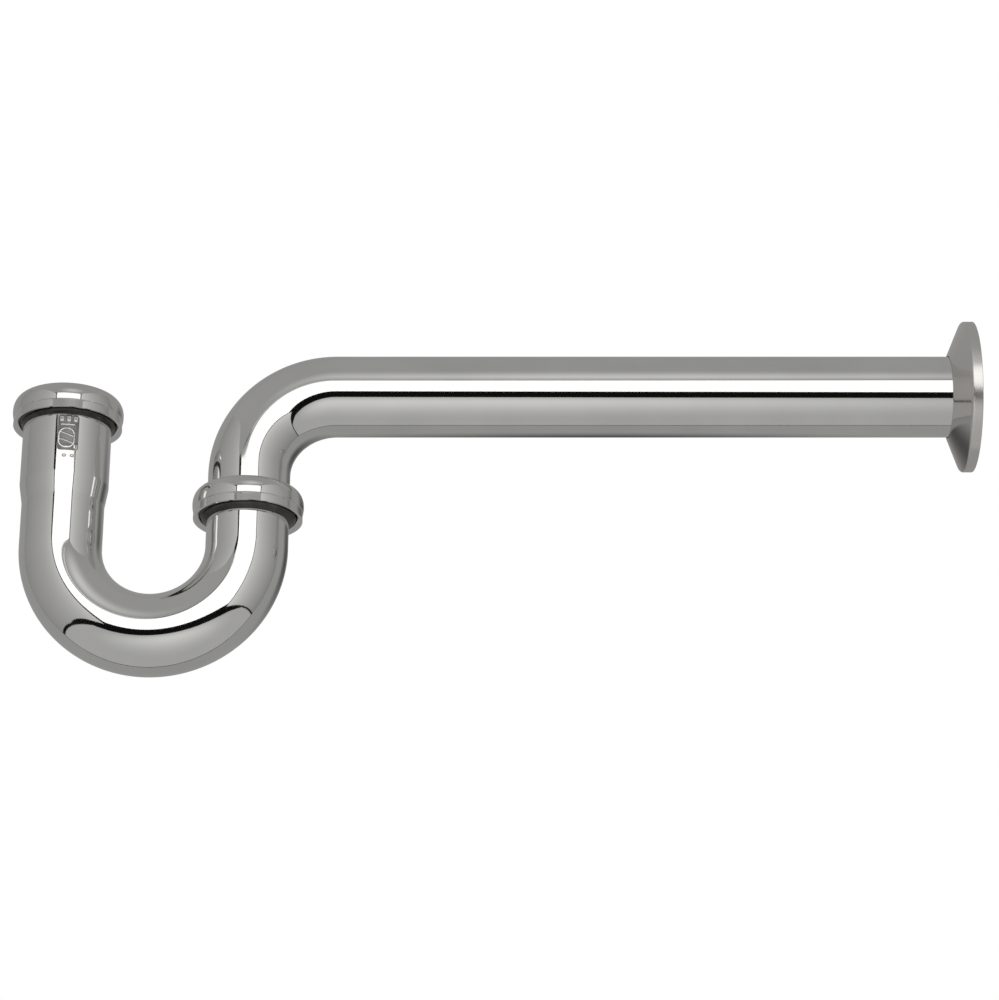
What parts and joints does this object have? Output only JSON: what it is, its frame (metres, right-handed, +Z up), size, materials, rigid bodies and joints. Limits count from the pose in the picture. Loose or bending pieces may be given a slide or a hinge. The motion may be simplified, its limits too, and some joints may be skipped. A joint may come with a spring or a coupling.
{
  "type": "p trap",
  "caption": "Chrome-plated tubular brass P-trap for a wash basin: wall tube with quarter bend, swivelling J-bend, slip nuts and wall flange.",
  "frame": {"origin": "where the axis of the wall tube crosses the back plane of the wall flange, on the face of the wall", "axes": "+X along the wall tube into the wall, +Z up, the J-bend hangs at -X"},
  "size_m": [0.3755, 0.059, 0.145],
  "materials": {
    "chrome": "polished chrome plate",
    "plated_brass": "dull thin plating over machined brass",
    "brass": "bare machined brass",
    "rubber": "matt black rubber"
  },
  "bodies": {
    "wall_tube": {"wall_tube": "chrome", "wall_tube_collar": "brass"},
    "flange_grip": {"flange_grip_ring": "rubber"},
    "flange": {"wall_flange": "chrome"},
    "trap_bend": {"j_bend": "chrome", "inlet_ferrule": "plated_brass", "outlet_ferrule": "plated_brass", "inlet_washer": "rubber", "outlet_gasket": "rubber"},
    "inlet_ring": {"inlet_slip_ring": "brass"},
    "inlet_nut": {"inlet_nut": "chrome"},
    "outlet_ring": {"outlet_slip_ring": "brass"},
    "outlet_nut": {"outlet_nut": "chrome"}
  },
  "joints": [
    {"name": "flange_slide", "type": "slide", "parent": "wall_tube", "child": "flange_grip", "axis": [1, 0, 0], "range_m": [-0.235, 0]},
    {"name": "flange_turn", "type": "hinge", "parent": "flange_grip", "child": "flange", "pos_m": [0, 0, 0], "axis": [1, 0, 0], "continuous": true},
    {"name": "trap_swivel", "type": "hinge", "parent": "wall_tube", "child": "trap_bend", "pos_m": [-0.2824, 0, -0.0465], "axis": [0, 0, 1], "range_deg": [-130, 130]},
    {"name": "inlet_nut_lift", "type": "slide", "parent": "trap_bend", "child": "inlet_ring", "axis": [0, 0, 1], "range_m": [0, 0.00774]},
    {"name": "inlet_nut_turn", "type": "hinge", "parent": "inlet_ring", "child": "inlet_nut", "pos_m": [-0.354, 0, -0.0146], "axis": [0, 0, 1], "range_deg": [0, 1260]},
    {"name": "outlet_nut_lift", "type": "slide", "parent": "trap_bend", "child": "outlet_ring", "axis": [0, 0, 1], "range_m": [0, 0.00553]},
    {"name": "outlet_nut_turn", "type": "hinge", "parent": "outlet_ring", "child": "outlet_nut", "pos_m": [-0.2824, 0, -0.0535], "axis": [0, 0, 1], "range_deg": [0, 900]}
  ],
  "couplings": [
    {"joint": "inlet_nut_lift", "follows": "inlet_nut_turn", "m_per_rad": 0.00035152},
    {"joint": "outlet_nut_lift", "follows": "outlet_nut_turn", "m_per_rad": 0.00035152}
  ]
}
